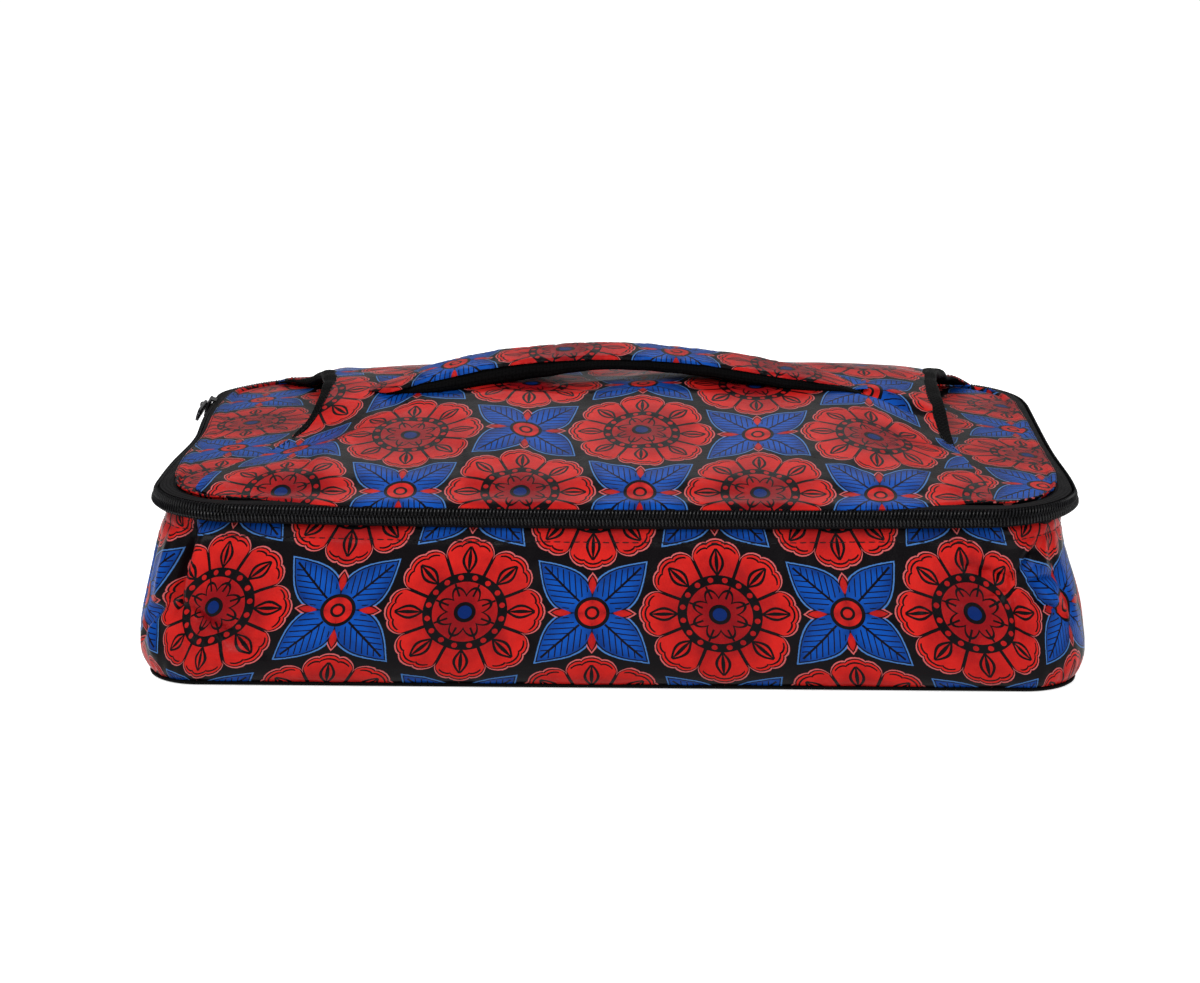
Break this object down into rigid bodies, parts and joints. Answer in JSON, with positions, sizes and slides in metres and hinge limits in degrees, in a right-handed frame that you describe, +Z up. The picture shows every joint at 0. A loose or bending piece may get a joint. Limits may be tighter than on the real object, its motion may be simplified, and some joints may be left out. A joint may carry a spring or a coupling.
{
  "type": "lunch bag",
  "caption": "Shallow rectangular insulated lunch bag in printed coated cloth, with a zip-round lid, a raised lid yoke and a padded carrying handle.",
  "frame": {"origin": "on the table, under the middle of the base", "axes": "+X to the right along the long side, +Y to the hinged back, +Z up; the front with the zip faces -Y"},
  "size_m": [0.3964, 0.2565, 0.1203],
  "materials": {
    "print_cloth": "coated cotton print with a soft gloss, red and blue motifs on black",
    "black_tape": "matt black woven tape and binding",
    "zip_coil": "black nylon coil",
    "foil_lining": "silver foil laminate",
    "foam": "closed-cell foam",
    "stiffener": "plain board",
    "zip_metal": "black lacquered zinc"
  },
  "bodies": {
    "body": {"outer_wall": "print_cloth", "wall_foam": "foam", "wall_lining": "foil_lining", "mouth_binding": "black_tape", "base_piping": "black_tape", "base_panel": "print_cloth", "base_board": "stiffener", "base_foam": "foam", "base_lining": "foil_lining", "lower_zip_tape": "black_tape", "lower_zip_coil": "zip_coil", "zip_stop_left": "zip_metal", "zip_stop_right": "zip_metal"},
    "lid": {"lid_panel": "print_cloth", "lid_foam": "foam", "lid_lining": "foil_lining", "upper_zip_tape": "black_tape", "upper_zip_coil": "zip_coil", "hinge_band": "black_tape", "yoke_cover": "print_cloth", "yoke_lining": "black_tape", "yoke_binding_left": "black_tape", "yoke_binding_right": "black_tape", "handle_tab_left": "print_cloth", "handle_tab_right": "print_cloth"},
    "handle": {"handle_cover": "print_cloth", "handle_core": "foam", "handle_backing": "black_tape"},
    "zip_slider": {"slider_body": "zip_metal", "slider_bail": "zip_metal"},
    "zip_pull": {"pull_tab": "zip_metal"}
  },
  "joints": [
    {"name": "lid_hinge", "type": "hinge", "parent": "body", "child": "lid", "pos_m": [0, 0.125, 0.0683], "axis": [-1, 0, 0], "range_deg": [0, 170]},
    {"name": "handle_lean", "type": "hinge", "parent": "lid", "child": "handle", "pos_m": [0, 0, 0.105], "axis": [1, 0, 0], "range_deg": [-20, 20], "stiffness_Nm_per_rad": 0.02},
    {"name": "slider_run", "type": "slide", "parent": "body", "child": "zip_slider", "axis": [0, -1, 0], "range_m": [0, 0.14]},
    {"name": "pull_swing", "type": "hinge", "parent": "zip_slider", "child": "zip_pull", "pos_m": [-0.19472, 0.07, 0.07526], "axis": [-0.309, 0, -0.9511], "range_deg": [0, 170]}
  ]
}
